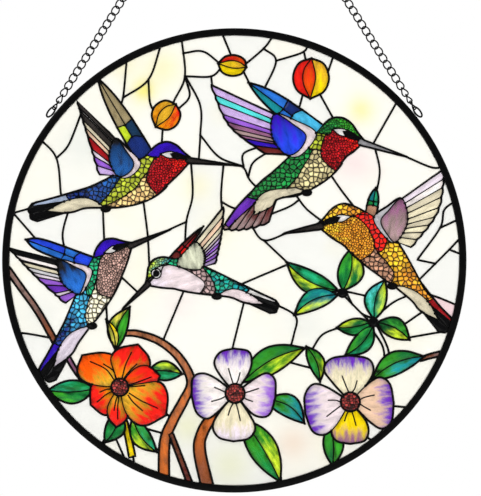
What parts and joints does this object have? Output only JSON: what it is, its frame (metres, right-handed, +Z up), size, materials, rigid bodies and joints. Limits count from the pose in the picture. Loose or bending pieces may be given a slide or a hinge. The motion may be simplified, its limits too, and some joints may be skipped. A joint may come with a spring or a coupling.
{
  "type": "stained glass suncatcher",
  "caption": "Round leaded glass panel with birds and blossoms in a black channel frame, hung from a chain between two eyelets.",
  "frame": {"origin": "the point in the chain's middle link where a hook bears, on the panel's middle plane", "axes": "+Z up from the panel to the hook, +X to the viewer's right, +Y from the front of the panel to its back"},
  "size_m": [0.3, 0.007, 0.435],
  "materials": {
    "black_metal": "black patina, satin",
    "opal_glass": "milky opalescent, faintly streaked",
    "leaf_glass": "streaked green",
    "branch_glass": "mottled brown",
    "bud_glass": "orange running into red",
    "seed_glass": "dark red glass beads",
    "lily_glass": "red running into orange",
    "cream_glass": "cream running into lilac",
    "purple_glass": "lilac running into violet",
    "blue_bird_glass": "small glass beads and textured glass",
    "violet_bird_glass": "small glass beads and textured glass",
    "pale_bird_glass": "small glass beads and textured glass",
    "green_bird_glass": "small glass beads and textured glass",
    "gold_bird_glass": "small glass beads and textured glass",
    "blue_wing_glass": "streaked glass",
    "violet_wing_glass": "streaked glass",
    "pale_wing_glass": "streaked glass",
    "green_wing_glass": "streaked glass",
    "gold_wing_glass": "streaked glass"
  },
  "bodies": {
    "root": {"frame_ring": "black_metal", "leading": "black_metal", "eyelet_left": "black_metal", "eyelet_right": "black_metal", "chain_left": "black_metal", "chain_right": "black_metal", "hanging_link": "black_metal", "pale_ground_1": "opal_glass", "pale_ground_2": "opal_glass", "pale_ground_3": "opal_glass", "pale_ground_4": "opal_glass", "pale_ground_5": "opal_glass", "pale_ground_6": "opal_glass", "pale_ground_7": "opal_glass", "pale_ground_8": "opal_glass", "leaf_above_lily": "leaf_glass", "leaf_right_of_lily": "leaf_glass", "leaf_left_of_lily": "leaf_glass", "leaf_below_lily_left": "leaf_glass", "leaf_below_lily_right": "leaf_glass", "leaf_above_cream": "leaf_glass", "leaf_right_of_cream": "leaf_glass", "leaf_below_cream": "leaf_glass", "leaf_below_purple": "leaf_glass", "leaf_above_purple": "leaf_glass", "left_sprig": "leaf_glass", "right_sprig": "leaf_glass", "branch_right_of_lily": "branch_glass", "branch_below_lily": "branch_glass", "branch_below_cream": "branch_glass", "twig_left": "branch_glass", "bud_left": "bud_glass", "bud_middle": "bud_glass", "bud_right": "bud_glass", "lily_petals": "lily_glass", "lily_centre": "seed_glass", "cream_blossom_petals": "cream_glass", "cream_blossom_centre": "seed_glass", "purple_blossom_petals": "purple_glass", "purple_blossom_centre": "seed_glass", "blue_bird_body": "blue_bird_glass", "blue_bird_tail": "blue_bird_glass", "blue_bird_near_wing": "blue_wing_glass", "blue_bird_far_wing": "blue_wing_glass", "violet_bird_body": "violet_bird_glass", "violet_bird_tail": "violet_bird_glass", "violet_bird_near_wing": "violet_wing_glass", "violet_bird_far_wing": "violet_wing_glass", "pale_bird_body": "pale_bird_glass", "pale_bird_tail": "pale_bird_glass", "pale_bird_near_wing": "pale_wing_glass", "pale_bird_far_wing": "pale_wing_glass", "green_bird_body": "green_bird_glass", "green_bird_tail": "green_bird_glass", "green_bird_near_wing": "green_wing_glass", "green_bird_far_wing": "green_wing_glass", "gold_bird_body": "gold_bird_glass", "gold_bird_tail": "gold_bird_glass", "gold_bird_near_wing": "gold_wing_glass", "gold_bird_far_wing": "gold_wing_glass"}
  },
  "joints": []
}
